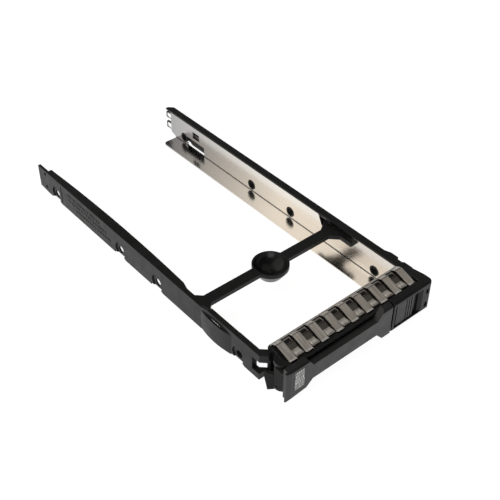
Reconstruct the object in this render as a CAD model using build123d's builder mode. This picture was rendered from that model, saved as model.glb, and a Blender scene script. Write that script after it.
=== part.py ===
"""Hot swap carrier for a 2.5-inch drive, in millimetres.

x runs to the right as seen from the front, y to the rear and z up. The origin lies on the floor,
midway across the rails and midway along the carrier. In the sketches, depths are counted back
from the front face of the lever, and sideways places from the left rail's outer face.
"""
import os
from math import cos, radians, sin

from build123d import *

# The drive that the carrier holds
drive_width = 69.85
drive_hole_height = 3.0    # side holes above the drive's base
drive_hole_setback = 14.0  # rear side hole to the drive's connector end
drive_hole_pitch = 76.6    # rear side hole to front side hole
drive_length = 100.4
drive_gap = 0.13           # each side of the drive

# Overall sizes
rail_length = 167.5        # from the front to the rear end of the rails
pipe_reach = 0.9           # light pipe ends beyond the rails
rail_wall = 1.3            # outer walls of both rails
rail_height = 11.5         # left rail and crossbar
right_height = 13.6        # right rail
bezel_height = 15.0        # front faces
sheet = 0.6                # steel side plate
channel = 1.5              # room for the light pipes between the plate and the right rail's wall
stand_out = 1.0            # side springs, pad and clip beyond the rails
slip = 0.15                # between pieces that are laid or slid together
lay = 0.05                 # between a sheet part and what it lies on

# Screw stations of both rails
drive_end_inset = 0.4      # drive's connector end inside the rails' ends
forward_gap = 1.2          # second pair of stations: a drive this far behind the bezel
screw_hole = 3.4
screw_recess = 7.0
recess_depth = 0.5
boss_width = 4.7           # bosses of the right rail, through the holes of the plate
relief_height = 1.0        # underside relief at each station
relief_rear = 4.3
relief_front = 1.8
relief_ramp = 1.7

# Left rail
tip_length = 7.0           # bare tip behind the top ledge
tip_lift = 0.7
ledge_thick = 1.5
ledge_rear = 2.8           # ledge width at its rear end, its middle and its front end
ledge_middle = 4.3
ledge_front = 3.3
ledge_end = 62.9
narrow_ledge = 2.2
narrow_ledge_start = 59.0
front_rise = 0.9           # the rail's front part is this much higher
rise_rear = 48.0
rise_front = 44.0
groove_setback = 4.4       # ahead of the rear screw station
groove_width = 0.5
groove_depth = 0.35
groove_low = 1.6
groove_high = 10.0
dimple_setback = 5.8       # from the rail's rear end
dimple_heights = (2.8, 9.8)
dimple_width = 1.6
dimple_depth = 0.4

# Leaf springs moulded in both rails
leaf_rear = 48.0
leaf_front = 30.0
leaf_thick = 0.9
leaf_foot = 0.4            # under the leaf
leaf_slot = 0.4
leaf_height = 10.0         # top of the left leaf

# Crossbar with its thumb dish
bar_place = 49.75
bar_width = 4.9
bar_thick = 1.8
gusset = 3.3
dish_from_left = 36.3
dish_rim = 15.2
dish_mouth = 13.8
dish_rim_height = 1.6
dish_base = 9.8
dish_depth = 5.7
dish_floor = 1.4
nub_width = 1.6
nub_height = 0.4

# Right foot of the crossbar, through the cut-out of the side plate
foot_width = 2.2
foot_front = 37.8
foot_through = 39.6        # front end of the part that passes through the plate
foot_rear = 55.6
foot_mark_length = 4.6
foot_mark_margin = 0.45
foot_mark_depth = 0.4

# Bezel box at the front, open to the front behind the lever
bezel_rear = 15.0
bezel_front = 3.1
bezel_wall = 1.5
bezel_floor = 1.2
bezel_under = 11.8         # underside of the top wall
bezel_top = 14.3
bezel_step_rear = 10.6     # the top steps down in front of this line
bezel_step_front = 8.1
bezel_step_low = 13.2
bezel_brow = 13.0
bezel_left = 4.4
corner_rear = 18.3         # rear jamb of the claw window in the left wall
corner_block_rear = 28.0
corner_thick = 2.3
corner_outer = 14.45       # where the outer face turns in towards the bezel
corner_turn = 2.4
corner_inner = 17.0
window_low = 3.0
window_high = 9.0
low_wall_front = 14.4

# Lever and its pivot
pivot_from_left = 5.05
pivot_place = 7.4
pin_radius = 1.25
pin_play = 0.05            # pin in the lever
pin_fit = 0.02             # pin in the ears
pin_cover = 0.5            # of the upper ear over the pin
hub_radius = 3.2
ear_radius = 3.5
ear_gap = 0.3
lever_depth = 2.8
lever_low = 0.5            # underside of the lever's right end
lever_lift = 0.1           # underside of its left edge
lever_shoulder_low = 1.45
lever_shoulder_high = 14.5
lever_top = 14.9
plate_low_corner = 9.8
plate_right = 12.8
plate_high_corner = 10.5
grip_low = 4.1
grip_high = 11.2
grip_right = 45.4
lever_end_left = 48.7
lever_end_gap = 0.9        # between the lever and the housing
brow_bevel = 1.1           # along the top front edges of the lever and the housing
plate_band = 2.3           # sloping band at the plate's left edge
plate_band_depth = 0.4
plate_band_rise = 0.65     # the underside rises this much along the band
plate_thick = 1.0          # of the left edge, beside the web
web_inset = 1.0
web_low = 3.0
core_depth = 1.7           # hollows in the back of the grip
core_count = 6
core_rib = 1.0
hook_thick = 2.1
hook_left = 50.4
hook_low = 5.2
hook_high = 9.8
tooth_reach = 1.0
tooth_front = 5.4
tooth_rear = 7.9
claw_low = 0.3
claw_high = 6.3
claw_reach = 6.14          # tip of the claw from the pivot, at its foot
claw_top_reach = 7.0
claw_angle = 166           # direction of the tip from the pivot, at its foot
claw_top_angle = 139
claw_root = (150, 190)
claw_top_root = (125, 175)

# Printed label on the lever's left end
label_thick = 0.12
label_left = 2.9
label_margin = 0.8

# Right housing with the release button
post_left = 53.9
post_width = 1.1
recess_right = 68.6        # right edge of the button's recess
window_floor = 1.5
window_top = 12.9
foot_bevel = 1.0           # along the underside's front edge
cap_bevel = 0.5            # at the housing's right edge
cap_slope = 1.6            # the end cap slopes into the recess
cap_slope_depth = 0.9
cap_wall = 1.5
guide_wall = 1.2
button_gap = 0.5
button_side_gap = 1.1      # between the button and the post at its left
button_width = 9.2
button_front = 0.35
button_body_depth = 8.9
button_travel = 3.0
apron_thick = 1.2          # the button's plate behind the front wall
apron_right = 68.9
ridge_count = 3
ridge_width = 0.8
ridge_pitch = 1.35
ridge_depth = 0.6          # grooves between the ridges
tongue_rear = 5.1
latch_gap = 0.3            # between the button's tongue and the lever's tooth
spring_radius = 1.6        # to the middle of the button spring's wire
spring_wire = 0.45
spring_turns = 5
spring_bore = 4.4
spring_seat = 3.2          # wall of the button under the spring
slope_start = 13.0         # the right rail's top rises in front of this line
slope_end = 4.0

# Torsion spring round the lever's pin
coil_radius = 2.0
coil_wire = 0.5
coil_turns = 5
coil_pitch = 0.6
coil_room = 0.25
coil_leg = 0.9
wire_sides = 6             # of the wire in both springs, drawn as a polygon

# Light pipes in the right rail
pipe_play = 0.1
pipe_height = 1.1
upper_run = 11.6           # underside of each pipe along the rail
lower_run = 7.4
head_length = 4.1          # heads at the rear end
upper_head = (8.1, 11.0)
lower_head = (2.4, 5.6)
front_upper = (9.1, 11.3)  # undersides and tops at the front windows
front_lower = (2.4, 4.6)
front_run = 3.5
light_setback = 0.5
pipe_rib_length = 3.0
pipe_rib_count = 3         # behind the leaf spring, with one more ahead of it
strip_thick = 0.75         # top strip of the right rail
strip_chamfer = 2.2
rail_wall_setback = 3.6    # outer wall's end ahead of the strip's end

# Side plate
flange = 7.9
flange_setback = 4.0       # flange's end ahead of the wall's end
flange_round = 2.0
plate_setback = 3.8        # from the rail's rear end
plate_lift_front = 1.0     # the wall's lower edge rises behind the flange
plate_lift_rear = 2.0
cut_rear_top = 60.0        # cut-out for the crossbar's foot
cut_rear_low = 57.0
cut_low = 8.0
slot_setback = 2.6         # long window ahead of the rear screw station, which it runs into
slot_length = 12.9
slot_top = 5.2
latch_setback = 6.8        # latch hole ahead of the same station
latch_length = 5.0
latch_low = 6.8
latch_high = 10.2

# Side pad and ground clip on the right
pad_rear = 25.0
pad_front = 17.7
pad_low = 3.0
pad_ramp = 3.0             # slope at the pad's rear end
pad_step = 0.7             # slope at its front end
clip_rear = 15.6
clip_front = 10.2
clip_low = 6.0
clip_top = 13.3
clip_shoulder = 0.8        # from each tab to the clip's flat middle
clip_sheet = 0.25
clip_tab = 0.9

# Finger gasket on the bezel
gasket_sheet = 0.2
gasket_left = 5.0
gasket_right = 70.5
gasket_curl = 1.9          # how far its rear edge hangs down
curl_radius = 0.6
finger_count = 9
finger_pitch = 7.65
finger_width = 3.3
finger_left = 5.6
finger_root = 14.5
finger_crest = 12.1
finger_tip = 4.9
finger_rise = 1.45         # crest above the flat base
finger_drop = 2.4          # tip below the crest
finger_lip = 0.6
finger_bend = 1.5
lip_bend = 0.4
tongue_root = 10.4         # the tongues between the fingers bend down in front of this line
tongue_step = 7.9
tongue_tip = 5.3
tongue_drop = 0.95
tongue_lip = 0.3
hole_rear = 12.9
hole_front = 11.2
hole_width = 2.9
slit_width = 0.35
emboss_width = 2.4         # raised pad near each tongue's tip
emboss_rear = 7.3
emboss_front = 5.9
emboss_height = 0.25

# Sizes that follow from the values above
width = 2 * rail_wall + drive_width + 2 * drive_gap + sheet + channel
length = rail_length + pipe_reach
front = -length / 2
left = -width / 2
right = width / 2
past = 1.0                 # how far a cut runs past the faces that it opens
plate_face = left + rail_wall + drive_width + 2 * drive_gap
plate_back = plate_face + sheet
channel_wall = plate_back + channel
strip_low = right_height - strip_thick
station_z = sheet + drive_hole_height
rear_station = rail_length - drive_end_inset - drive_hole_setback
forward_station = bezel_rear + forward_gap + drive_length - drive_hole_setback
stations = [
    (depth, station_z)
    for set_rear in (rear_station, forward_station)
    for depth in (set_rear, set_rear - drive_hole_pitch)
]
plate_end = rail_length - plate_setback
flange_end = plate_end - flange_setback
slot_rear = rear_station - slot_setback
latch_rear = rear_station - latch_setback
rib_pitch = (rail_length - leaf_rear) / pipe_rib_count
pipe_ribs = [(bezel_rear + leaf_front) / 2] + [
    leaf_rear + rib_pitch * (i + 0.5) for i in range(pipe_rib_count)
]
front_top = rail_height + front_rise
bar_front = bar_place - bar_width / 2
bar_rear = bar_place + bar_width / 2
bar_low = rail_height - bar_thick
dish_x = left + dish_from_left
pivot_x = left + pivot_from_left
hub_low = bezel_floor + ear_gap
hub_high = bezel_under - ear_gap
pocket_depth = coil_pitch * coil_turns + coil_wire + 2 * slip
post_x = left + post_left
window_x = post_x + post_width
recess_x = left + recess_right
apron_front = cap_wall + slip
apron_rear = apron_front + apron_thick
guide_front = button_body_depth + button_gap
rail_block_x = left + gasket_right + slip
tooth_x = left + hook_left + hook_thick + tooth_reach
label_outline = [
    (left + label_left, lever_shoulder_low + label_margin),
    (left + plate_low_corner - label_margin, lever_shoulder_low + label_margin),
    (left + plate_right - 2 * label_margin, grip_low + label_margin),
    (left + plate_right - 2 * label_margin, grip_high - label_margin),
    (left + plate_high_corner - label_margin, lever_shoulder_high - label_margin),
    (left + label_left, lever_shoulder_high - label_margin),
]


def plan(height):
    """Level sketch plane: x, then the depth from the front."""
    return Plane(origin=(0, front, height))


def side(x):
    """Upright lengthwise plane: the depth from the front, then the height."""
    return Plane(origin=(x, front, 0), x_dir=(0, 1, 0), z_dir=(1, 0, 0))


def across(depth):
    """Upright crosswise plane: x, then the height. A positive extrusion runs forwards."""
    return Plane(origin=(0, front + depth, 0), x_dir=(1, 0, 0), z_dir=(0, -1, 0))


def span(x0, x1, y0, y1, mode=Mode.ADD):
    """Rectangle between two corners of the current sketch."""
    with Locations(((x0 + x1) / 2, (y0 + y1) / 2)):
        Rectangle(abs(x1 - x0), abs(y1 - y0), mode=mode)


def about_pivot(reach, angle):
    """Point of a level sketch at an angle round the lever's pivot."""
    turn = radians(angle)
    return (pivot_x + reach * cos(turn), pivot_place + reach * sin(turn))


def strip(path, bends):
    """Side view of a bent strip of the gasket's sheet, from the points of its underside."""
    for lift in (0, gasket_sheet):
        FilletPolyline(*[(depth, height + lift) for depth, height in path], radius=bends)
    for depth, height in (path[0], path[-1]):
        Line((depth, height), (depth, height + gasket_sheet))


with BuildPart() as carrier_frame:
    # Left rail: upright wall with a tapered tip and a slightly higher front part
    with BuildSketch(side(left)):
        Polygon(
            (corner_rear, 0),
            (rail_length - tip_length, 0),
            (rail_length, tip_lift),
            (rail_length, rail_height),
            (rise_rear, rail_height),
            (rise_front, front_top),
            (corner_rear, front_top),
            align=None,
        )
    extrude(amount=rail_wall)

    # Right rail: outer wall, and the bosses that pass through the plate to the drive
    with BuildSketch(side(right)):
        Polygon(
            (0, 0),
            (rail_length - rail_wall_setback, 0),
            (rail_length - rail_wall_setback, right_height),
            (slope_start, right_height),
            (slope_end, bezel_height),
            (0, bezel_height),
            align=None,
        )
    extrude(amount=-rail_wall)
    with BuildSketch(side(plate_face)):
        with Locations(*stations):
            Circle(boss_width / 2)
    extrude(amount=sheet + channel)

    # Leaf springs: each one bows out of a window in its wall
    for wall_x, inward, leaf_top in (
        (left, 1, leaf_height),
        (right, -1, bar_low - leaf_slot),
    ):
        with BuildSketch(side(wall_x)):
            span(leaf_front, leaf_rear, -past, leaf_top + leaf_slot)
        extrude(amount=inward * rail_wall, mode=Mode.SUBTRACT)
        with BuildSketch(plan(leaf_foot)):
            with BuildLine():
                middle = (leaf_rear + leaf_front) / 2
                inner_x = wall_x + inward * leaf_thick
                outer = ThreePointArc(
                    (wall_x, leaf_front),
                    (wall_x - inward * stand_out, middle),
                    (wall_x, leaf_rear),
                )
                inner = ThreePointArc(
                    (inner_x, leaf_front),
                    (inner_x - inward * stand_out, middle),
                    (inner_x, leaf_rear),
                )
                Line(outer @ 0, inner @ 0)
                Line(outer @ 1, inner @ 1)
            make_face()
        extrude(amount=leaf_top - leaf_foot)

    # Ledge along the left rail's top, with a gently curved inner edge
    with BuildSketch(plan(rail_height)):
        with BuildLine():
            ledge_tip = rail_length - tip_length
            curve = ThreePointArc(
                (left + ledge_rear, ledge_tip),
                (left + ledge_middle, (ledge_tip + ledge_end) / 2),
                (left + ledge_front, ledge_end),
            )
            Polyline(
                curve @ 1,
                (left + narrow_ledge, narrow_ledge_start),
                (left + narrow_ledge, rise_front),
                (left, rise_front),
                (left, ledge_tip),
                curve @ 0,
            )
        make_face()
    extrude(amount=-ledge_thick)
    with BuildSketch(plan(front_top)):
        span(left, left + narrow_ledge, corner_rear, rise_front)
    extrude(amount=-ledge_thick - front_rise)

    # Corner block that turns in to the bezel, with the window that the claw swings into
    with BuildSketch(plan(0)):
        Polygon(
            (left, corner_block_rear),
            (left, corner_outer),
            (left + corner_turn, corner_outer - corner_turn),
            (left + bezel_left, bezel_rear - bezel_wall),
            (left + bezel_left, bezel_rear),
            (left + corner_thick, corner_inner),
            (left + corner_thick, corner_block_rear),
            align=None,
        )
    extrude(amount=front_top)
    with BuildSketch(plan(window_low)):
        span(left - past, left + bezel_left, corner_outer - corner_turn - past, corner_rear)
    extrude(amount=window_high - window_low, mode=Mode.SUBTRACT)
    with BuildSketch(plan(-past)):
        span(left - past, left + bezel_left, corner_outer - corner_turn - past, low_wall_front)
    extrude(amount=window_high + past, mode=Mode.SUBTRACT)

    # Bezel box: floor and rear wall, then the top wall with its step under the fingers
    with BuildSketch(plan(0)):
        span(left + bezel_left, right, bezel_front, bezel_rear)
        span(post_x, right, 0, bezel_rear)
    extrude(amount=bezel_floor)
    with BuildSketch(across(bezel_rear)):
        span(left + bezel_left, right, 0, strip_low)
        span(left + bezel_left, rail_block_x, 0, bezel_top)
    extrude(amount=bezel_wall)
    with BuildSketch(side(left + bezel_left)):
        Polygon(
            (bezel_front, bezel_under),
            (bezel_rear, bezel_under),
            (bezel_rear, bezel_top),
            (bezel_step_rear, bezel_top),
            (bezel_step_front, bezel_step_low),
            (bezel_front, bezel_brow),
            align=None,
        )
    extrude(amount=rail_block_x - left - bezel_left)
    long_edges = carrier_frame.edges().filter_by(Axis.X)
    top_edges = long_edges.filter_by_position(Axis.Z, bezel_top - lay, bezel_top + lay)
    fillet(top_edges.sort_by(Axis.Y)[-1], radius=curl_radius - lay)

    # Right housing: front wall with a raised lip, then the block at the rail's front end
    with BuildSketch(side(post_x)):
        span(0, cap_wall, 0, bezel_height)
        span(0, bezel_front, bezel_under, bezel_height)
    extrude(amount=right - post_x)
    with BuildSketch(side(right)):
        Polygon(
            (0, strip_low),
            (bezel_rear, strip_low),
            (bezel_rear, right_height),
            (slope_start, right_height),
            (slope_end, bezel_height),
            (0, bezel_height),
            align=None,
        )
    extrude(amount=rail_block_x - right)

    # Housing walls: the button's rear guide, and the partition that its spring leans on
    with BuildSketch(plan(0)):
        span(recess_x, recess_x + cap_wall, apron_rear + slip, bezel_rear)
        span(window_x, recess_x, guide_front, guide_front + guide_wall)
    extrude(amount=bezel_brow)

    # Button window, light windows, and the way for the pipes through the rear wall
    with BuildSketch(across(0)):
        span(window_x, recess_x, window_floor, window_top)
        for low, high in (front_lower, front_upper):
            span(plate_back, channel_wall, low - pipe_play, high + pipe_play)
    extrude(amount=-cap_wall, mode=Mode.SUBTRACT)

    # Bevels along the housing's front: top, underside, right edge, and the slope into the recess
    with BuildSketch(side(post_x)):
        Polygon(
            (-past, bezel_height - brow_bevel - past),
            (brow_bevel + past, bezel_height + past),
            (-past, bezel_height + past),
            align=None,
        )
        Polygon(
            (-past, foot_bevel + past),
            (foot_bevel + past, -past),
            (-past, -past),
            align=None,
        )
    extrude(amount=right - post_x, mode=Mode.SUBTRACT)
    with BuildSketch(plan(0)):
        Polygon(
            (right - cap_bevel - past, -past),
            (right + past, cap_bevel + past),
            (right + past, -past),
            align=None,
        )
    extrude(amount=bezel_height, mode=Mode.SUBTRACT)
    with BuildSketch(plan(window_floor)):
        Polygon(
            (recess_x, -past),
            (recess_x + cap_slope, -past),
            (recess_x + cap_slope, 0),
            (recess_x, cap_slope_depth),
            align=None,
        )
    extrude(amount=window_top - window_floor, mode=Mode.SUBTRACT)
    with BuildSketch(across(bezel_rear)):
        span(plate_back, channel_wall, lower_run - slip, strip_low)
    extrude(amount=bezel_wall, mode=Mode.SUBTRACT)

    # Ears round the lever's pin, with the box cut back in front of them
    for ear_low, ear_high in ((0, bezel_floor), (bezel_under, bezel_step_low)):
        with BuildSketch(plan(ear_low)):
            span(left, pivot_x + ear_radius, 0, pivot_place)
        extrude(amount=ear_high - ear_low + past, mode=Mode.SUBTRACT)
        with BuildSketch(plan(ear_low)):
            with Locations((pivot_x, pivot_place)):
                Circle(ear_radius)
        extrude(amount=ear_high - ear_low)
    with BuildSketch(plan(-past)):
        with Locations((pivot_x, pivot_place)):
            Circle(pin_radius + pin_fit)
    extrude(amount=past + bezel_step_low - pin_cover, mode=Mode.SUBTRACT)
    with BuildSketch(plan(bezel_under)):
        with Locations(about_pivot(coil_radius, 0)):
            Circle(coil_wire / 2 + slip)
    extrude(amount=coil_leg, mode=Mode.SUBTRACT)

    # Strip over the plate and the light pipes, and the ribs that carry the pipes
    with BuildSketch(plan(right_height)):
        Polygon(
            (plate_face, bezel_rear),
            (right, bezel_rear),
            (right, rail_length - strip_chamfer),
            (right - strip_chamfer, rail_length),
            (plate_face, rail_length),
            align=None,
        )
    extrude(amount=-strip_thick)
    with BuildSketch(side(channel_wall)):
        for depth in pipe_ribs:
            rib_front = depth - pipe_rib_length / 2
            rib_rear = depth + pipe_rib_length / 2
            span(rib_front, rib_rear, lower_run + pipe_height + pipe_play, upper_run - pipe_play)
            span(rib_front, rib_rear, lower_run - pipe_height, lower_run - pipe_play)
    extrude(amount=slip - channel)

    # Crossbar with its gussets and the foot that passes through the side plate
    foot_x = plate_face - foot_width
    foot_face = plate_face - lay
    with BuildSketch(plan(bar_low)):
        span(left + rail_wall / 2, foot_x, bar_front, bar_rear)
        Polygon(
            (left + rail_wall, bar_front - gusset),
            (left + rail_wall + gusset, bar_front),
            (left + rail_wall + gusset, bar_rear),
            (left + rail_wall, bar_rear + gusset),
            align=None,
        )
        Polygon(
            (foot_x - gusset, bar_rear),
            (foot_face, foot_rear),
            (channel_wall + rail_wall / 2, foot_rear),
            (channel_wall + rail_wall / 2, foot_through),
            (foot_face, foot_through),
            (foot_face, foot_front),
            (foot_x, foot_front),
            (foot_x, bar_front - gusset),
            (foot_x - gusset, bar_front),
            align=None,
        )
    extrude(amount=bar_thick)
    with BuildSketch(plan(rail_height)):
        span(
            foot_x + foot_mark_margin,
            foot_face - foot_mark_margin,
            foot_front + foot_mark_margin,
            foot_front + foot_mark_length,
        )
    extrude(amount=-foot_mark_depth, mode=Mode.SUBTRACT)

    # Thumb dish: a bowl that hangs from the crossbar, with a small nub at its bottom
    dish_top = Plane(
        origin=(dish_x, front + bar_place, rail_height), x_dir=(1, 0, 0), z_dir=(0, -1, 0)
    )
    bowl_depth = dish_depth - dish_floor
    with BuildSketch(dish_top):
        Polygon(
            (0, -dish_depth),
            (dish_base / 2, -dish_depth),
            (dish_rim / 2, -dish_rim_height),
            (dish_rim / 2, 0),
            (0, 0),
            align=None,
        )
    revolve(axis=Axis(dish_top.origin, (0, 0, 1)))
    with BuildSketch(dish_top):
        with BuildLine():
            bowl = TangentArc(
                (nub_width / 2, -bowl_depth), (dish_mouth / 2, 0), tangent=(1, 0)
            )
            Polyline(
                bowl @ 1,
                (dish_mouth / 2, past),
                (0, past),
                (0, nub_height - bowl_depth),
                bowl @ 0,
            )
        make_face()
    revolve(axis=Axis(dish_top.origin, (0, 0, 1)), mode=Mode.SUBTRACT)

    # Screw stations: holes through both rails, recesses outside and reliefs underneath
    with BuildSketch(side(left - past)):
        with Locations(*stations):
            Circle(screw_hole / 2)
    extrude(amount=width + 2 * past, mode=Mode.SUBTRACT)
    for wall_x, inward in ((left, 1), (right, -1)):
        with BuildSketch(side(wall_x)):
            with Locations(*stations):
                Circle(screw_recess / 2)
        extrude(amount=inward * recess_depth, mode=Mode.SUBTRACT)
        with BuildSketch(side(wall_x)):
            for depth, _ in stations:
                Polygon(
                    (depth + relief_rear, -past),
                    (depth + relief_rear, relief_height),
                    (depth - relief_front, relief_height),
                    (depth - relief_front - relief_ramp, 0),
                    (depth - relief_front - relief_ramp, -past),
                    align=None,
                )
        extrude(amount=inward * rail_wall, mode=Mode.SUBTRACT)

    # Groove and dimples on the left rail's outer face
    with BuildSketch(side(left)):
        groove_rear = rear_station - groove_setback
        span(groove_rear - groove_width, groove_rear, groove_low, groove_high)
    extrude(amount=groove_depth, mode=Mode.SUBTRACT)
    with BuildSketch(side(left)):
        with Locations(*[(rail_length - dimple_setback, z) for z in dimple_heights]):
            Circle(dimple_width / 2)
    extrude(amount=dimple_depth, mode=Mode.SUBTRACT)

    # Side pad on the right wall, and the blind slots for the ground clip's tabs
    with BuildSketch(plan(pad_low)):
        Polygon(
            (right, pad_rear),
            (right + stand_out, pad_rear - pad_ramp),
            (right + stand_out, pad_front + pad_step),
            (right, pad_front),
            align=None,
        )
    extrude(amount=right_height - pad_low)
    with BuildSketch(plan(clip_low - lay)):
        for depth in (clip_front - clip_sheet, clip_rear):
            span(right - clip_tab - lay, right, depth - lay, depth + clip_sheet + lay)
    extrude(amount=clip_top - clip_low + 2 * lay, mode=Mode.SUBTRACT)

with BuildPart() as side_plate:
    plate_top = strip_low - lay
    # Folded sheet: upright wall and bottom flange
    with BuildSketch(side(plate_face)):
        Polygon(
            (bezel_rear + slip, 0),
            (flange_end, 0),
            (flange_end + plate_lift_front, plate_lift_front),
            (plate_end, plate_lift_rear),
            (plate_end, plate_top),
            (bezel_rear + slip, plate_top),
            align=None,
        )
    extrude(amount=sheet)
    with BuildSketch(plan(0)):
        span(plate_face - flange, plate_back, bezel_rear + slip, flange_end)
    extrude(amount=sheet)
    flange_corners = side_plate.edges().filter_by(Axis.Z).group_by(Axis.X)[0]
    fillet(flange_corners.sort_by(Axis.Y)[-1], radius=flange_round)

    # Holes over the screw bosses, the long window, the latch hole and the foot's cut-out
    with BuildSketch(side(plate_face)):
        with Locations(*stations):
            Circle(boss_width / 2 + slip)
        span(slot_rear - slot_length, slot_rear, sheet, slot_top)
        span(
            slot_rear - slot_length,
            rear_station,
            station_z - screw_hole / 2,
            station_z + screw_hole / 2,
        )
        span(latch_rear - latch_length, latch_rear, latch_low, latch_high)
        Polygon(
            (foot_through - slip, cut_low),
            (cut_rear_low, cut_low),
            (cut_rear_top, plate_top + past),
            (foot_through - slip, plate_top + past),
            align=None,
        )
    extrude(amount=sheet, mode=Mode.SUBTRACT)

with BuildPart() as emi_gasket:
    seat = bezel_top + lay
    # Base strip with its rear edge curled over the bezel
    with BuildSketch(side(left + gasket_left)):
        with BuildLine():
            curl_y = bezel_rear + lay
            hang = Line((curl_y, seat - gasket_curl), (curl_y, seat - curl_radius))
            bend = TangentArc(hang @ 1, (curl_y - curl_radius, seat), tangent=(0, 1))
            Line(bend @ 1, (tongue_root, seat))
            offset(amount=gasket_sheet, side=Side.RIGHT)
        make_face()
    extrude(amount=gasket_right - gasket_left)

    # Slits beside the fingers, and a rectangular hole at the root of each tongue between them
    finger_places = [left + finger_left + finger_pitch * i for i in range(finger_count)]
    tongue_width = finger_pitch - finger_width - 2 * slit_width
    tongue_places = [x + finger_width + slit_width for x in finger_places[:-1]]
    with BuildSketch(plan(seat)):
        for x in finger_places:
            span(x - slit_width, x + finger_width + slit_width, 0, finger_root - slit_width)
        for x in tongue_places:
            hole_x = x + (tongue_width - hole_width) / 2
            span(hole_x, hole_x + hole_width, hole_front, hole_rear)
        for x0, x1 in (
            (left + gasket_left, finger_places[0]),
            (finger_places[-1], left + gasket_right),
        ):
            span(x0, x1, 0, finger_root - slit_width)
    extrude(amount=gasket_sheet, mode=Mode.SUBTRACT)

    # Fingers: strips that rise behind, bend over and slope down to a turned-up tip
    crest_z = seat + finger_rise
    tip_z = crest_z - finger_drop
    finger_path = [
        (finger_root, seat),
        (finger_crest, crest_z),
        (finger_tip, tip_z),
        (finger_tip - finger_lip, tip_z + finger_lip / 3),
    ]
    for x in finger_places:
        with BuildSketch(side(x)):
            with BuildLine():
                strip(finger_path, (finger_bend, lip_bend))
            make_face()
        extrude(amount=finger_width)

    # Tongues: strips that step down in front of their hole, each with an embossed pad
    tongue_z = seat - tongue_drop
    tongue_path = [
        (tongue_root, seat),
        (tongue_step, tongue_z),
        (tongue_tip, tongue_z),
        (tongue_tip - tongue_lip, tongue_z + tongue_lip / 2),
    ]
    for x in tongue_places:
        with BuildSketch(side(x)):
            with BuildLine():
                strip(tongue_path, (finger_bend, lip_bend))
            make_face()
        extrude(amount=tongue_width)
    with BuildSketch(plan(tongue_z)):
        for x in tongue_places:
            pad_x = x + (tongue_width - emboss_width) / 2
            span(pad_x, pad_x + emboss_width, emboss_front, emboss_rear)
    extrude(amount=gasket_sheet + emboss_height)

with BuildPart() as ground_clip:
    # Thin leaf that stands out of the wall between its two tabs
    crown = right + stand_out - clip_sheet
    with BuildSketch(plan(clip_low)):
        with BuildLine():
            FilletPolyline(
                (right - clip_tab, clip_front),
                (right + 2 * lay, clip_front),
                (crown, clip_front + clip_shoulder),
                (crown, clip_rear - clip_shoulder),
                (right + 2 * lay, clip_rear),
                (right - clip_tab, clip_rear),
                radius=clip_sheet,
            )
            offset(amount=clip_sheet, side=Side.RIGHT)
        make_face()
    extrude(amount=clip_top - clip_low)


def pipe_outline(run, window, head):
    """Corners of a light pipe seen from the side, from its front end to its rear head."""
    head_front = length - head_length
    rear_bend = head_front - (run - head[0])
    front_bend = front_run + (run - window[0])
    return [
        (light_setback, window[0]),
        (front_run, window[0]),
        (front_bend, run),
        (rear_bend, run),
        (head_front, head[0]),
        (length, head[0]),
        (length, head[1]),
        (head_front, head[1]),
        (rear_bend, run + pipe_height),
        (front_bend, run + pipe_height),
        (front_run, window[1]),
        (light_setback, window[1]),
    ]


with BuildPart() as upper_light_pipe:
    with BuildSketch(side(plate_back + pipe_play)):
        Polygon(*pipe_outline(upper_run, front_upper, upper_head), align=None)
    extrude(amount=channel - 2 * pipe_play)

with BuildPart() as lower_light_pipe:
    with BuildSketch(side(plate_back + pipe_play)):
        Polygon(*pipe_outline(lower_run, front_lower, lower_head), align=None)
    extrude(amount=channel - 2 * pipe_play)

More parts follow.
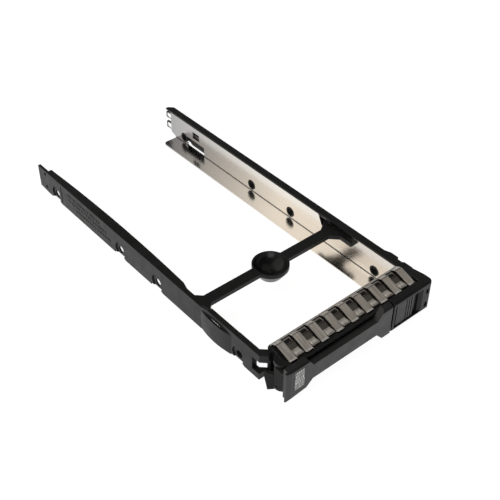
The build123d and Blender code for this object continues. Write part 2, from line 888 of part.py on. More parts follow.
with BuildPart() as lever:
    # Front: left end plate, grip bar and right end in one outline
    lever_x = post_x - lever_end_gap
    with BuildSketch(across(lever_depth)):
        Polygon(
            (left, lever_lift),
            (left + plate_band, lever_lift + plate_band_rise),
            (left + plate_low_corner, lever_shoulder_low),
            (left + plate_right, grip_low),
            (left + grip_right, grip_low),
            (left + lever_end_left, lever_low),
            (lever_x, lever_low),
            (lever_x, lever_top),
            (left + lever_end_left, lever_top),
            (left + grip_right, grip_high),
            (left + plate_right, grip_high),
            (left + plate_high_corner, lever_shoulder_high),
            (left, lever_top),
            align=None,
        )
    extrude(amount=lever_depth)

    # Sloping band and thin edge at the left, and the bevel along the top
    with BuildSketch(plan(0)):
        Polygon(
            (left, plate_band_depth),
            (left + plate_band, 0),
            (left + plate_band, -past),
            (left, -past),
            align=None,
        )
        span(left, left + web_inset, plate_thick, lever_depth)
    extrude(amount=lever_top, mode=Mode.SUBTRACT)
    with BuildSketch(side(left)):
        Polygon(
            (-past, lever_top - brow_bevel - past),
            (brow_bevel + past, lever_top + past),
            (-past, lever_top + past),
            align=None,
        )
    extrude(amount=lever_x - left, mode=Mode.SUBTRACT)

    # Hollows in the back of the grip, between ribs
    core_pitch = (grip_right - plate_right - core_rib) / core_count
    with BuildSketch(across(lever_depth)):
        with Locations((left + (grip_right + plate_right) / 2, (grip_low + grip_high) / 2)):
            with GridLocations(core_pitch, 0, core_count, 1):
                Rectangle(core_pitch - core_rib, grip_high - grip_low - 2 * core_rib)
    extrude(amount=core_depth, mode=Mode.SUBTRACT)

    # Hub on the pin, joined to the end plate by a web
    with BuildSketch(plan(web_low)):
        span(left + web_inset, pivot_x + hub_radius, lever_depth - core_rib, pivot_place)
    extrude(amount=hub_high - web_low)
    with BuildSketch(plan(hub_low)):
        with Locations((pivot_x, pivot_place)):
            Circle(hub_radius)
    extrude(amount=hub_high - hub_low)

    # Claw: leans back as it rises, and is cut round the lower ear
    with BuildSketch(plan(claw_low)):
        Polygon(
            about_pivot(claw_reach, claw_angle),
            *[about_pivot(hub_radius - slip, angle) for angle in claw_root],
            align=None,
        )
    with BuildSketch(plan(claw_high)):
        Polygon(
            about_pivot(claw_top_reach, claw_top_angle),
            *[about_pivot(hub_radius - slip, angle) for angle in claw_top_root],
            align=None,
        )
    loft()
    with BuildSketch(plan(0)):
        with Locations((pivot_x, pivot_place)):
            Circle(ear_radius + ear_gap)
    extrude(amount=hub_low, mode=Mode.SUBTRACT)

    # Hook behind the right end, whose tooth stands behind the button's tongue
    with BuildSketch(plan(hook_low)):
        Polygon(
            (left + hook_left, lever_depth - core_rib),
            (left + hook_left + hook_thick, lever_depth - core_rib),
            (left + hook_left + hook_thick, tooth_front),
            (tooth_x, tooth_front + tooth_reach / 2),
            (tooth_x, tooth_front + tooth_reach),
            (tooth_x - tooth_reach, tooth_rear),
            (left + hook_left, tooth_rear),
            align=None,
        )
    extrude(amount=hook_high - hook_low)

    # Bore for the pin, and the pocket for its spring with a hole for the spring's lower leg
    with BuildSketch(plan(hub_low)):
        with Locations((pivot_x, pivot_place)):
            Circle(pin_radius + pin_play)
    extrude(amount=hub_high - hub_low, mode=Mode.SUBTRACT)
    with BuildSketch(plan(hub_high)):
        with Locations((pivot_x, pivot_place)):
            Circle(coil_radius + coil_wire / 2 + coil_room)
    extrude(amount=-pocket_depth, mode=Mode.SUBTRACT)
    with BuildSketch(plan(hub_high - pocket_depth)):
        with Locations(about_pivot(coil_radius, 0)):
            Circle(coil_wire / 2 + slip)
    extrude(amount=-coil_leg, mode=Mode.SUBTRACT)

    # Shallow seat for the label
    with BuildSketch(across(label_thick)):
        Polygon(*label_outline, align=None)
    extrude(amount=label_thick, mode=Mode.SUBTRACT)

with BuildPart() as lever_label:
    with BuildSketch(across(label_thick)):
        Polygon(*label_outline, align=None)
    extrude(amount=label_thick)

with BuildPart() as lever_pin:
    with BuildSketch(plan(lay)):
        with Locations((pivot_x, pivot_place)):
            Circle(pin_radius)
    extrude(amount=bezel_step_low - pin_cover - 2 * lay)

with BuildPart() as lever_spring:
    # Close coil whose two legs stand in the hub and in the upper ear
    coil_low = hub_high - pocket_depth + slip + coil_wire / 2
    coil_high = coil_low + coil_pitch * coil_turns
    with BuildLine() as coil_line:
        Helix(
            coil_pitch,
            coil_high - coil_low,
            coil_radius,
            center=(pivot_x, front + pivot_place, coil_low),
        )
    with BuildSketch(Plane(origin=coil_line.line @ 0, z_dir=coil_line.line % 0)):
        RegularPolygon(coil_wire / 2, wire_sides)
    sweep(path=coil_line.line, is_frenet=True)
    for leg_start, leg_length in (
        (coil_low, -coil_leg),
        (coil_high, hub_high - coil_high + ear_gap + coil_leg - slip),
    ):
        with BuildSketch(plan(leg_start)):
            with Locations(about_pivot(coil_radius, 0)):
                Circle(coil_wire / 2)
        extrude(amount=leg_length)

with BuildPart() as release_button:
    # Front face in the window, with upright grip ridges at its right side
    button_x = window_x + button_side_gap
    face_low = window_floor + button_gap
    face_high = window_top - button_gap
    with BuildSketch(across(cap_wall - slip)):
        span(button_x, button_x + button_width, face_low, face_high)
    extrude(amount=cap_wall - slip - button_front)
    with BuildSketch(across(apron_front)):
        span(button_x, button_x + button_width, face_low, hub_high)
    extrude(amount=2 * slip)
    with BuildSketch(across(button_front + ridge_depth)):
        for i in range(ridge_count):
            groove_right = button_x + button_width - ridge_width - i * ridge_pitch
            span(groove_right - ridge_pitch + ridge_width, groove_right, face_low, face_high)
    extrude(amount=ridge_depth, mode=Mode.SUBTRACT)

    # Apron that closes the recess from behind and slides into the cap
    tongue_x = tooth_x + latch_gap
    with BuildSketch(across(apron_rear)):
        span(tongue_x + apron_thick, left + apron_right, hub_low, hub_high)
    extrude(amount=apron_thick)

    # Tongue that the lever's tooth snaps behind
    with BuildSketch(plan(hook_low - ear_gap)):
        Polygon(
            (button_x, apron_rear),
            (tongue_x + apron_thick, apron_rear),
            (tongue_x, apron_rear + apron_thick),
            (tongue_x, tongue_rear),
            (button_x, tongue_rear),
            align=None,
        )
    extrude(amount=hook_high - hook_low + 2 * ear_gap)

    # Body with the pocket for its spring
    body_right = recess_x - button_travel - button_gap
    spring_depth = (apron_rear + button_body_depth) / 2
    spring_z = (bezel_floor + bezel_under) / 2
    with BuildSketch(across(button_body_depth)):
        span(button_x, body_right, hub_low, hub_high)
    extrude(amount=button_body_depth - apron_rear)
    with BuildSketch(side(body_right)):
        with Locations((spring_depth, spring_z)):
            Circle(spring_bore / 2)
    extrude(amount=button_x + spring_seat - body_right, mode=Mode.SUBTRACT)

with BuildPart() as button_spring:
    # Coil between the pocket's end and the partition
    spring_start = button_x + spring_seat + spring_wire / 2 + lay
    spring_room = recess_x - spring_wire / 2 - lay - spring_start
    with BuildLine() as spring_line:
        Helix(
            spring_room / spring_turns,
            spring_room,
            spring_radius,
            center=(spring_start, front + spring_depth, spring_z),
            direction=(1, 0, 0),
        )
    with BuildSketch(Plane(origin=spring_line.line @ 0, z_dir=spring_line.line % 0)):
        RegularPolygon(spring_wire / 2, wire_sides)
    sweep(path=spring_line.line, is_frenet=True)

pieces = {
    "carrier_frame": carrier_frame,
    "side_plate": side_plate,
    "emi_gasket": emi_gasket,
    "ground_clip": ground_clip,
    "upper_light_pipe": upper_light_pipe,
    "lower_light_pipe": lower_light_pipe,
    "lever": lever,
    "lever_label": lever_label,
    "lever_pin": lever_pin,
    "lever_spring": lever_spring,
    "release_button": release_button,
    "button_spring": button_spring,
}
os.makedirs("parts", exist_ok=True)
for name, piece in pieces.items():
    piece.part.label = name
    export_step(piece.part, f"parts/{name}.step")
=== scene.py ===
"""Looks of the hot swap drive carrier: materials, moulded marks, studio and camera.

All lengths are in metres. Depths are counted back from the front face of the lever.
"""
import random

import bmesh
import bpy
from mathutils import Matrix, Vector


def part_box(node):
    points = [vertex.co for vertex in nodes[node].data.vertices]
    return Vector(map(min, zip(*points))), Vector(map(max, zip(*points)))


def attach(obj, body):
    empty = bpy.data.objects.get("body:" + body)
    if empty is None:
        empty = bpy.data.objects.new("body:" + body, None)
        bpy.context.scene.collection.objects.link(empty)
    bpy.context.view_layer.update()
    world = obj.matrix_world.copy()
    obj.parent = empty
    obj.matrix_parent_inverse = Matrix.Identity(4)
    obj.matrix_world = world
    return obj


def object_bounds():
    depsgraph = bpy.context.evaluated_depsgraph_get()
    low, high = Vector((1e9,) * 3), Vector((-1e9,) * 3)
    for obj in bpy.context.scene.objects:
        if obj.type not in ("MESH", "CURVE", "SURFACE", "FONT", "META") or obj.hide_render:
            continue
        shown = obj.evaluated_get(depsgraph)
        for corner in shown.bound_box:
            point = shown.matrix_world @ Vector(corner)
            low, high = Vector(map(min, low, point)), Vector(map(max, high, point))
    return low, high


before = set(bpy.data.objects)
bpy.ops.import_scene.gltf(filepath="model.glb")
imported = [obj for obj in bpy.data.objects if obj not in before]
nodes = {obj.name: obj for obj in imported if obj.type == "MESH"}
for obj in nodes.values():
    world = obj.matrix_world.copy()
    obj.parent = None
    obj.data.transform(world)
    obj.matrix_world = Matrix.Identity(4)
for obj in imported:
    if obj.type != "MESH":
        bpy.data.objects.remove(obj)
cad_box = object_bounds()

MM = 0.001
LEFT, FRONT, FLOOR = cad_box[0]
REAR = cad_box[1][1]
RAIL_FACE = LEFT + 1.0 * MM           # left rail's outer face, which its side spring stands out of
DISH = (RAIL_FACE + 36.3 * MM, FRONT + 49.75 * MM)
DISH_REACH = 6.0 * MM
HUB_DEPTH = 2.9 * MM                  # from here back the lever is hub, hook and claw

# Hollows in the left rail's outer face, as start and end depth, low and high
HOLLOW_DEPTH = 0.4 * MM
GROOVE = (148.1 * MM, 148.8 * MM, 1.6 * MM, 10.0 * MM)
DIMPLES = (
    (160.9 * MM, 162.5 * MM, 2.1 * MM, 3.5 * MM),
    (160.9 * MM, 162.5 * MM, 9.1 * MM, 10.5 * MM),
)

# Node places of the Mix node's colour sockets
MIX_FACTOR, MIX_FIRST, MIX_SECOND, MIX_RESULT = 0, 6, 7, 2

# Texture scales, in cells to the metre
SHEEN_SCALE = 220.0
CLOUD_SCALE = 60.0
GRAIN_SCALE = 3800.0
STREAK_SCALE = 900.0
PATCH_SCALE = 25.0
FLOW_SCALE = 500.0
PAPER_SCALE = 400.0
PRINT_GRAIN_SCALE = 2500.0


def grey(value):
    return (value, value, value)


def material(name):
    """New node material with its shader node."""
    made = bpy.data.materials.new(name)
    made.use_nodes = True
    return made, made.node_tree.nodes["Principled BSDF"]


def add(tree, kind, **values):
    """New node with its attributes, and its unlinked inputs given as name=value pairs."""
    node = tree.nodes.new(kind)
    for key, value in values.items():
        if hasattr(node, key):
            setattr(node, key, value)
        else:
            node.inputs[key].default_value = value
    return node


def fill(tree, sockets, values):
    """Each value into its socket: a number or tuple is set, a socket is linked."""
    for socket, value in zip(sockets, values):
        if isinstance(value, (int, float, tuple)):
            socket.default_value = value
        else:
            tree.links.new(value, socket)


def maths(tree, operation, *values):
    made = add(tree, "ShaderNodeMath", operation=operation)
    fill(tree, made.inputs, values)
    return made.outputs[0]


def product(tree, first, second):
    return maths(tree, "MULTIPLY", first, second)


def dot_product(tree, first, second):
    made = add(tree, "ShaderNodeVectorMath", operation="DOT_PRODUCT")
    fill(tree, made.inputs, (first, second))
    return made.outputs["Value"]


def spread(tree, value, zero, one):
    """Zero where the value is the first number, one where it is the second, and level outside."""
    made = add(tree, "ShaderNodeMapRange")
    made.inputs["From Min"].default_value = zero
    made.inputs["From Max"].default_value = one
    tree.links.new(value, made.inputs["Value"])
    return made.outputs["Result"]


def band(tree, value, low, high, soft):
    """One between two values, falling to zero over a soft margin outside them."""
    return product(
        tree, spread(tree, value, low - soft, low), spread(tree, value, high + soft, high)
    )


def depth_band(tree, along, start, end, soft):
    return band(tree, along, FRONT + start, FRONT + end, soft)


def object_coordinates(tree, stretch=(1, 1, 1)):
    """The piece's own coordinates, scaled along each axis."""
    place = add(tree, "ShaderNodeTexCoord")
    mapping = add(tree, "ShaderNodeMapping", Scale=stretch)
    tree.links.new(place.outputs["Object"], mapping.inputs["Vector"])
    return mapping.outputs["Vector"]


def axes(tree):
    """The piece's own x, y and z, in metres."""
    place = add(tree, "ShaderNodeTexCoord")
    split = add(tree, "ShaderNodeSeparateXYZ")
    tree.links.new(place.outputs["Object"], split.inputs["Vector"])
    return split.outputs["X"], split.outputs["Y"], split.outputs["Z"]


def noise(tree, vector, scale, detail=3.0):
    made = add(tree, "ShaderNodeTexNoise", Scale=scale, Detail=detail)
    tree.links.new(vector, made.inputs["Vector"])
    return made.outputs["Fac"]


def ramp(tree, value, stops):
    """Colour ramp with its stops as (place, colour)."""
    made = add(tree, "ShaderNodeValToRGB")
    elements = made.color_ramp.elements
    while len(elements) < len(stops):
        elements.new(0.5)
    for element, (place, colour) in zip(elements, stops):
        element.position = place
        element.color = (*colour, 1)
    tree.links.new(value, made.inputs["Fac"])
    return made.outputs["Color"]


def mixed(tree, factor, first, second, blend="MIX"):
    """Colour mix; the factor is a number or socket, and each side a colour or socket."""
    made = add(tree, "ShaderNodeMix", data_type="RGBA", blend_type=blend)
    sides = [(*side, 1) if isinstance(side, tuple) else side for side in (first, second)]
    sockets = [made.inputs[place] for place in (MIX_FACTOR, MIX_FIRST, MIX_SECOND)]
    fill(tree, sockets, (factor, *sides))
    return made.outputs[MIX_RESULT]


def rounded_normal(tree, radius):
    return add(tree, "ShaderNodeBevel", samples=4, Radius=radius).outputs["Normal"]


def edge_mask(tree, radius, sharpness):
    """One on edges within the radius, zero on flat faces."""
    geometry = add(tree, "ShaderNodeNewGeometry")
    agreement = dot_product(tree, rounded_normal(tree, radius), geometry.outputs["Normal"])
    return spread(tree, agreement, 1.0, 1.0 - sharpness)


def bump(tree, shader, height, strength, distance, round_edges):
    """Surface relief, with edges softened by a small rounding."""
    made = add(tree, "ShaderNodeBump", Strength=strength, Distance=distance)
    tree.links.new(height, made.inputs["Height"])
    tree.links.new(rounded_normal(tree, round_edges), made.inputs["Normal"])
    tree.links.new(made.outputs["Normal"], shader.inputs["Normal"])


def plastic(name, dark, light, rough, grain, edge_highlight, gloss, finish=None):
    """Moulded plastic: fine grain, uneven sheen, painted highlight on edges. The finish changes the
    sheen.
    """
    made, shader = material(name)
    tree = made.node_tree
    vector = object_coordinates(tree)
    body = ramp(tree, noise(tree, vector, CLOUD_SCALE), ((0.35, dark), (0.7, light)))
    edge_highlight_mask = edge_mask(tree, 0.25 * MM, 0.25)
    # The edge colour mixed in here is a painted highlight on the rounded edges
    tree.links.new(mixed(tree, edge_highlight_mask, body, edge_highlight), shader.inputs["Base Color"])
    sheen_stops = ((0.3, grey(rough - 0.06)), (0.7, grey(rough + 0.06)))
    sheen = ramp(tree, noise(tree, vector, SHEEN_SCALE), sheen_stops)
    if finish:
        sheen = finish(tree, sheen)
    tree.links.new(sheen, shader.inputs["Roughness"])
    shader.inputs["Specular IOR Level"].default_value = gloss
    bump(tree, shader, noise(tree, vector, GRAIN_SCALE, 2.0), grain, 0.03 * MM, 0.15 * MM)
    return made


def frame_finish(tree, sheen):
    """Smooth thumb dish, and dull hollows in the left rail's outer face."""
    across, along, up = axes(tree)
    smooth = product(
        tree,
        band(tree, across, DISH[0] - DISH_REACH, DISH[0] + DISH_REACH, 1.0 * MM),
        band(tree, along, DISH[1] - DISH_REACH, DISH[1] + DISH_REACH, 1.0 * MM),
    )
    sheen = mixed(tree, smooth, sheen, grey(0.24))
    outer_face = band(tree, across, LEFT, RAIL_FACE + HOLLOW_DEPTH, 0.02 * MM)
    for start, end, low, high in (GROOVE, *DIMPLES):
        length = depth_band(tree, along, start, end, 0.05 * MM)
        height = band(tree, up, low, high, 0.05 * MM)
        hollow = product(tree, outer_face, product(tree, length, height))
        sheen = mixed(tree, hollow, sheen, grey(1.0))
    return sheen


def lever_finish(tree, sheen):
    """Dull hub, hook and claw behind the lever's front plate."""
    _, along, _ = axes(tree)
    behind = band(tree, along, FRONT + HUB_DEPTH, REAR, 0.2 * MM)
    return mixed(tree, behind, sheen, grey(0.85))


def sheet_metal(name, dark, light, rough, streaks, tint, relief=0.12, shading=None):
    """Rolled metal: soft streaks along one axis and tinted patches. The shading changes the colour."""
    made, shader = material(name)
    tree = made.node_tree
    line = noise(tree, object_coordinates(tree, streaks), STREAK_SCALE, 4.0)
    body = ramp(tree, line, ((0.3, dark), (0.7, light)))
    patches = noise(tree, object_coordinates(tree), PATCH_SCALE)
    patched = ramp(tree, patches, ((0.4, grey(0.0)), (0.75, grey(0.5))))
    body = mixed(tree, patched, body, tint)
    if shading:
        body = shading(tree, body)
    tree.links.new(body, shader.inputs["Base Color"])
    sheen = ramp(tree, line, ((0.3, grey(rough - 0.03)), (0.7, grey(rough + 0.03))))
    tree.links.new(sheen, shader.inputs["Roughness"])
    shader.inputs["Metallic"].default_value = 1.0
    bump(tree, shader, line, relief, 0.02 * MM, 0.08 * MM)
    return made


# Painted reflection of the studio on the steel: warm at the front, grey at the rear
PLATE_FRONT_PAINTED_REFLECTION = (1.0, 0.955, 0.895)
PLATE_REAR_PAINTED_REFLECTION = (0.46, 0.46, 0.465)
PLATE_WALL_PAINTED_SHADE = (0.70, 0.655, 0.60)
# Low and high edge of the painted shade line in the fold between wall and flange
FOLD_SHADE_LINE = (0.66 * MM, 1.0 * MM)     # heights above the plate's underside


def plate_shading(tree, body):
    """Painted reflection: warm front, grey rear; painted shade on the wall's front part and in the
    fold.
    """
    _, along, up = axes(tree)
    # Painted reflection: warm towards the front, grey towards the rear
    place = spread(tree, along, FRONT, REAR)
    shade = ramp(tree, place, ((0.50, PLATE_FRONT_PAINTED_REFLECTION), (0.96, PLATE_REAR_PAINTED_REFLECTION)))
    body = mixed(tree, 1.0, body, shade, "MULTIPLY")
    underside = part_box("side_plate")[0][2]
    fold_low, fold_high = (underside + height for height in FOLD_SHADE_LINE)
    # Painted shade: the wall's front part is darker
    wall = band(tree, up, fold_high + 2.5 * MM, fold_high + 20.0 * MM, 2.0 * MM)
    front_part = depth_band(tree, along, 12.0 * MM, 42.0 * MM, 15.0 * MM)
    body = mixed(tree, product(tree, wall, front_part), body, PLATE_WALL_PAINTED_SHADE)
    # Painted shade: a dark line in the fold
    return mixed(tree, band(tree, up, fold_low, fold_high, 0.03 * MM), body, grey(0.012))


FINGER_PITCH = 7.65 * MM
FIRST_FINGER = RAIL_FACE + 5.6 * MM
TURNS_ADDED = 20                      # keeps the count of pitches above zero on the left side

# Parts of one pitch, from the finger's left edge
FINGER_PART = (-0.1, 0.43)
TONGUE_PART = (0.47, 0.97)
PAD_PART = (0.56, 0.87)

# Painted shade and highlights of the strip, as part of the pitch, start and end depth, and colour
STRIP_PAINTED_LIGHT = (
    # Painted shade behind the tongues' step and before the rear rim, then painted highlights on rim,
    # pads and tips
    (TONGUE_PART, 8.3 * MM, 11.1 * MM, (0.10, 0.09, 0.08)),
    (TONGUE_PART, 13.5 * MM, 14.0 * MM, (0.05, 0.045, 0.04)),
    (TONGUE_PART, 14.2 * MM, 14.6 * MM, (0.95, 0.92, 0.88)),
    (PAD_PART, 5.7 * MM, 7.5 * MM, (0.92, 0.88, 0.82)),
    (FINGER_PART, 4.2 * MM, 5.0 * MM, (0.95, 0.91, 0.86)),
)


def strip_shading(tree, body):
    """Spring strip: painted shade at the tongues' step and rear rim, painted highlight on rim, pads,
    tips.
    """
    across, along, _ = axes(tree)
    pitches = maths(
        tree, "MULTIPLY_ADD", across, 1 / FINGER_PITCH, TURNS_ADDED - FIRST_FINGER / FINGER_PITCH
    )
    share = maths(tree, "FRACT", pitches)
    for part, start, end, colour in STRIP_PAINTED_LIGHT:
        mask = band(tree, share, *part, 0.01)
        place = depth_band(tree, along, start, end, 0.1 * MM)
        body = mixed(tree, product(tree, mask, place), body, colour)
    return body


# Width of the painted shade bands at the top and bottom of each light pipe's rear end, and each pipe's
# height
PIPE_RIM_SHADE = 0.4 * MM
PIPE_END_HEIGHTS = {"lower_light_pipe": 3.2 * MM, "upper_light_pipe": 2.9 * MM}


def clear_plastic(name):
    """Clear moulded rod with faint flow marks and painted shade on edges, strongest round its rear
    end.
    """
    made, shader = material(name)
    tree = made.node_tree
    flow = noise(tree, object_coordinates(tree, (1, 0.2, 1)), FLOW_SCALE)
    colour = ramp(tree, flow, ((0.3, (0.93, 0.95, 0.96)), (0.7, (0.98, 0.99, 0.99))))
    # Darker edges: painted shade where the clear rod's edges bend the light away
    colour = mixed(tree, edge_mask(tree, 0.55 * MM, 0.05), colour, grey(0.02))
    _, along, up = axes(tree)
    tip = band(tree, along, REAR - 1.3 * MM, REAR, 0.1 * MM)
    # Two dark bands round each pipe's rear end: painted shade
    for piece, height in PIPE_END_HEIGHTS.items():
        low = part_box(piece)[0][2]
        for start in (low, low + height - PIPE_RIM_SHADE):
            rim = band(tree, up, start, start + PIPE_RIM_SHADE, 0.05 * MM)
            colour = mixed(tree, product(tree, tip, rim), colour, grey(0.01))
    # Dark rear end face: painted shade
    end_face = band(tree, along, REAR - 0.35 * MM, REAR, 0.05 * MM)
    tree.links.new(mixed(tree, end_face, colour, grey(0.01)), shader.inputs["Base Color"])
    sheen = ramp(tree, flow, ((0.3, grey(0.02)), (0.7, grey(0.06))))
    tree.links.new(sheen, shader.inputs["Roughness"])
    shader.inputs["Transmission Weight"].default_value = 1.0
    shader.inputs["IOR"].default_value = 1.49
    bump(tree, shader, flow, 0.05, 0.02 * MM, 0.1 * MM)
    return made


# Generic bars of the label: brick texture with one cell to the millimetre
BAR_PATTERN = {
    "Scale": 1 / MM,
    "Brick Width": 1.0,
    "Row Height": 1.6,
    "Mortar Size": 0.12,
    "Mortar Smooth": 0.1,
    "Color1": (0.75, 0.75, 0.74, 1),
    "Color2": (0.42, 0.42, 0.41, 1),
    "Mortar": (0.03, 0.03, 0.03, 1),
}


def label_material(name):
    """Dark label with rows of pale generic bars and a black rim at the left."""
    made, shader = material(name)
    tree = made.node_tree
    low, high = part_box("lever_label")
    vector = add(tree, "ShaderNodeTexCoord").outputs["Object"]
    body = ramp(tree, noise(tree, vector, PAPER_SCALE), ((0.3, grey(0.018)), (0.7, grey(0.026))))
    across, _, up = axes(tree)
    face = add(tree, "ShaderNodeCombineXYZ")
    tree.links.new(across, face.inputs["X"])
    tree.links.new(up, face.inputs["Y"])
    bars = add(tree, "ShaderNodeTexBrick", offset=0.37, squash=0.7, squash_frequency=3)
    tree.links.new(face.outputs[0], bars.inputs["Vector"])
    for key, value in BAR_PATTERN.items():
        bars.inputs[key].default_value = value
    printed = product(
        tree,
        band(tree, across, low[0] + 1.2 * MM, low[0] + 5.6 * MM, 0.05 * MM),
        band(tree, up, low[2] + 1.6 * MM, high[2] - 1.2 * MM, 0.05 * MM),
    )
    body = mixed(tree, printed, body, bars.outputs["Color"])
    inside_rim = band(tree, across, low[0] + 0.35 * MM, high[0], 0.05 * MM)
    tree.links.new(mixed(tree, inside_rim, grey(0.008), body), shader.inputs["Base Color"])
    shader.inputs["Roughness"].default_value = 0.42
    shader.inputs["Specular IOR Level"].default_value = 0.3
    bump(tree, shader, noise(tree, vector, PRINT_GRAIN_SCALE), 0.12, 0.02 * MM, 0.05 * MM)
    return made


FRAME_SLOT = "frame_plastic"
frame_plastic = plastic(
    FRAME_SLOT,
    dark=grey(0.007),
    light=grey(0.011),
    rough=0.38,
    grain=0.25,
    edge_highlight=grey(0.05),
    gloss=0.19,
    finish=frame_finish,
)
lever_plastic = plastic(
    "lever_plastic",
    dark=grey(0.008),
    light=grey(0.014),
    rough=0.39,
    grain=0.22,
    edge_highlight=grey(0.08),
    gloss=0.36,
    finish=lever_finish,
)
button_plastic = plastic(
    "button_plastic",
    dark=(0.011, 0.010, 0.010),
    light=(0.018, 0.016, 0.016),
    rough=0.40,
    grain=0.22,
    edge_highlight=(0.10, 0.085, 0.082),
    gloss=0.30,
)
stainless = sheet_metal(
    "stainless_sheet",
    dark=(0.80, 0.80, 0.79),
    light=(0.83, 0.83, 0.82),
    rough=0.20,
    streaks=(1, 0.02, 1),
    tint=(0.82, 0.80, 0.77),
    relief=0.02,
    shading=plate_shading,
)
spring_sheet = sheet_metal(
    "spring_sheet",
    dark=(0.29, 0.265, 0.24),
    light=(0.60, 0.56, 0.51),
    rough=0.27,
    streaks=(1, 0.03, 0.3),
    tint=(0.38, 0.34, 0.29),
    shading=strip_shading,
)
clip_metal = sheet_metal(
    "clip_metal",
    dark=grey(0.34),
    light=grey(0.46),
    rough=0.30,
    streaks=(1, 0.1, 1),
    tint=(0.40, 0.39, 0.37),
)
pin_steel = sheet_metal(
    "pin_steel", dark=grey(0.45), light=grey(0.6), rough=0.3, streaks=(1, 1, 0.1), tint=grey(0.5)
)
spring_wire = sheet_metal(
    "spring_wire", dark=grey(0.35), light=grey(0.5), rough=0.32, streaks=(1, 1, 1), tint=grey(0.4)
)
pipe_plastic = clear_plastic("clear_plastic")

LOOKS = {
    "carrier_frame": frame_plastic,
    "side_plate": stainless,
    "emi_gasket": spring_sheet,
    "ground_clip": clip_metal,
    "upper_light_pipe": pipe_plastic,
    "lower_light_pipe": pipe_plastic,
    "lever": lever_plastic,
    "lever_label": label_material("label_face"),
    "lever_pin": pin_steel,
    "lever_spring": spring_wire,
    "release_button": button_plastic,
    "button_spring": spring_wire,
}
for name, node in nodes.items():
    for slot in node.material_slots:
        slot.material = LOOKS[name]

# Rows of marks on the left rail, as height, start and end depth
MARK_ROWS = (
    (8.3 * MM, 118.0 * MM, 143.0 * MM),
    (5.9 * MM, 113.0 * MM, 142.0 * MM),
    (3.5 * MM, 110.0 * MM, 138.0 * MM),
)
MARK_LENGTHS = (0.7 * MM, 1.1 * MM, 1.5 * MM)
MARK_GAPS = (0.35 * MM, 0.35 * MM, 1.1 * MM)
MARK_THICK = 0.20 * MM                # a quarter of it lies inside the rail
MARK_HEIGHT = 1.25 * MM
MARK_TAPER = 0.12                     # outer face drawn in by this share of its size


def rail_marks():
    """Rows of low raised bars moulded on the left rail's outer face."""
    draw = random.Random(7)
    mesh = bmesh.new()
    for row_z, start, end in MARK_ROWS:
        along = start
        while along < end:
            size = Vector((MARK_THICK, draw.choice(MARK_LENGTHS), MARK_HEIGHT))
            middle = Vector((RAIL_FACE - size.x / 4, FRONT + along + size.y / 2, row_z))
            made = bmesh.ops.create_cube(mesh, size=1.0)
            for vertex in made["verts"]:
                vertex.co = middle + Vector(c * s for c, s in zip(vertex.co, size))
                if vertex.co.x < middle.x:
                    vertex.co.yz += (middle.yz - vertex.co.yz) * MARK_TAPER
            along += size.y + draw.choice(MARK_GAPS)
    data = bpy.data.meshes.new("rail_marks")
    mesh.to_mesh(data)
    mesh.free()
    marks = bpy.data.objects.new("rail_marks", data)
    bpy.context.scene.collection.objects.link(marks)
    data.materials.append(frame_plastic)
    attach(marks, "carrier")


rail_marks()

# Sky, from the horizon to straight overhead
SKY_STOPS = ((0.0, grey(0.90)), (0.22, grey(0.70)), (0.40, grey(0.04)), (1.0, grey(0.06)))

# Lit parts of the sky, as direction, cosines at which they start and are full, and colour
SKY_LIGHTS = (
    ((-0.49, 0.58, 0.65), 0.66, 0.84, (1.22, 1.18, 1.14)),
    ((0.49, 0.09, 0.86), 0.86, 0.95, (0.50, 0.49, 0.47)),
)


def sky():
    """Sky bright at the horizon and left rear, dim overhead, and plain white to the camera."""
    world = bpy.data.worlds.new("studio")
    bpy.context.scene.world = world
    world.use_nodes = True
    tree = world.node_tree
    background = tree.nodes["Background"]
    direction = add(tree, "ShaderNodeTexCoord").outputs["Generated"]
    split = add(tree, "ShaderNodeSeparateXYZ")
    tree.links.new(direction, split.inputs["Vector"])
    colour = ramp(tree, split.outputs["Z"], SKY_STOPS)
    for aim, dim, full, light in SKY_LIGHTS:
        lit = spread(tree, dot_product(tree, direction, aim), dim, full)
        colour = mixed(tree, lit, colour, light)
    path = add(tree, "ShaderNodeLightPath")
    colour = mixed(tree, path.outputs["Is Camera Ray"], colour, grey(1.0))
    tree.links.new(colour, background.inputs["Color"])
    background.inputs["Strength"].default_value = 1.0


FLOOR_SIZE = 6.0
FLOOR_SEEN = 0.25                     # shaded share of the white floor that the camera sees
FLOOR_GLOW = 0.93
FLOOR_PLAIN = 0.85                    # floor that lights the part


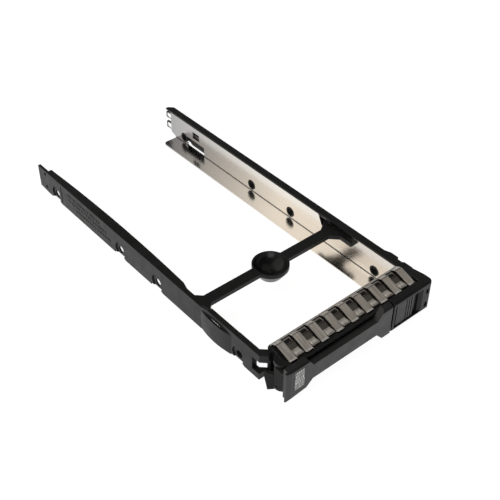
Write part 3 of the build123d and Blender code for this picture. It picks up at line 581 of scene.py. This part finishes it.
def white_floor():
    """Floor that shows white to the camera and in metal and glass, and keeps a soft shadow."""
    bpy.ops.mesh.primitive_plane_add(size=FLOOR_SIZE, location=(0, 0, FLOOR))
    floor = bpy.context.object
    floor.name = "floor"
    made = bpy.data.materials.new("floor")
    made.use_nodes = True
    tree = made.node_tree
    tree.nodes.clear()
    shaded = add(tree, "ShaderNodeBsdfDiffuse", Color=(*grey(FLOOR_SEEN), 1))
    glow = add(tree, "ShaderNodeEmission", Strength=FLOOR_GLOW)
    shown = add(tree, "ShaderNodeAddShader")
    fill(tree, shown.inputs, (shaded.outputs[0], glow.outputs[0]))
    plain = add(tree, "ShaderNodeBsdfDiffuse", Color=(*grey(FLOOR_PLAIN), 1))
    rays = add(tree, "ShaderNodeLightPath").outputs
    seen = maths(tree, "MAXIMUM", rays["Is Camera Ray"], rays["Is Glossy Ray"])
    seen = maths(tree, "MAXIMUM", seen, rays["Is Transmission Ray"])
    pick = add(tree, "ShaderNodeMixShader")
    fill(tree, pick.inputs, (seen, plain.outputs[0], shown.outputs[0]))
    output = add(tree, "ShaderNodeOutputMaterial")
    tree.links.new(pick.outputs[0], output.inputs["Surface"])
    floor.data.materials.append(made)


def softbox(name, place, aim, size, power):
    """Soft rectangular light aimed at a point."""
    data = bpy.data.lights.new(name, "AREA")
    data.shape = "RECTANGLE"
    data.size, data.size_y = size
    data.energy = power
    light = bpy.data.objects.new(name, data)
    bpy.context.scene.collection.objects.link(light)
    light.location = place
    light.rotation_euler = (Vector(aim) - Vector(place)).to_track_quat("-Z", "Y").to_euler()


sky()
white_floor()
softbox("key", place=(-0.9, -1.0, 0.55), aim=(0, 0, 0), size=(0.9, 0.7), power=6.0)

# Camera solved from the photograph's vanishing points; widths and focal length in millimetres
CAMERA_PLACE = Vector((-0.1785, -0.2291, 0.2427))
CAMERA_RIGHT = Vector((0.7630, -0.6464, 0.0061))
CAMERA_UP = Vector((0.4158, 0.4980, 0.7610))
CAMERA_BACK = Vector((-0.4949, -0.5781, 0.6487))
SENSOR_WIDTH = 36.0
FOCAL_LENGTH = 63.9

camera_data = bpy.data.cameras.new("camera")
camera_data.sensor_width = SENSOR_WIDTH
camera_data.lens = FOCAL_LENGTH
camera_data.clip_start = 10 * MM
camera = bpy.data.objects.new("camera", camera_data)
turn = Matrix((CAMERA_RIGHT, CAMERA_UP, CAMERA_BACK)).transposed()
camera.matrix_world = Matrix.Translation(CAMERA_PLACE) @ turn.to_4x4()
bpy.context.scene.collection.objects.link(camera)
bpy.context.scene.camera = camera
bpy.context.scene.view_settings.view_transform = "Standard"
